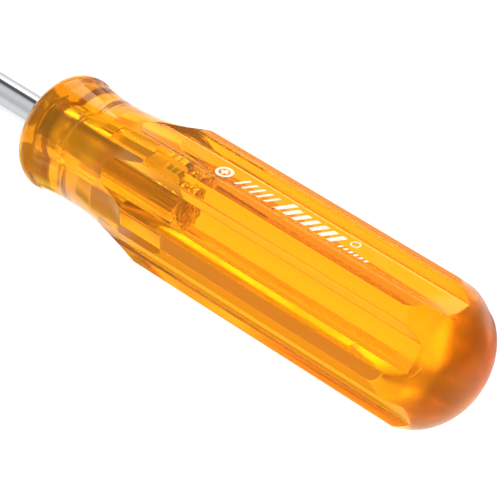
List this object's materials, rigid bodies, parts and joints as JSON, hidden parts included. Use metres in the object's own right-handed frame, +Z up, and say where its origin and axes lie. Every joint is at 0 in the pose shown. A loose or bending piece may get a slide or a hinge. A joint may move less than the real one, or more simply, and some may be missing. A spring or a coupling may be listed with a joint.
{
  "type": "cross-tip screwdriver",
  "caption": "Fixed-blade screwdriver: a fluted clear amber handle on a round plated steel blade with a cross tip, for driving cross-recess screws by hand.",
  "frame": {"origin": "under the middle of the tool's length, on the surface that the handle's lower flute rests on", "axes": "+X along the tool from the blade's tip to the handle's butt, +Z up out of the marked flute, +Y completes the right hand"},
  "size_m": [0.2016, 0.0272, 0.0248],
  "materials": {
    "handle_amber": "polished clear amber cellulose acetate",
    "blade_chrome": "bright nickel-chrome plate",
    "stamp_white": "hot-stamped white foil"
  },
  "bodies": {
    "root": {"handle": "handle_amber", "blade": "blade_chrome"}
  },
  "joints": []
}
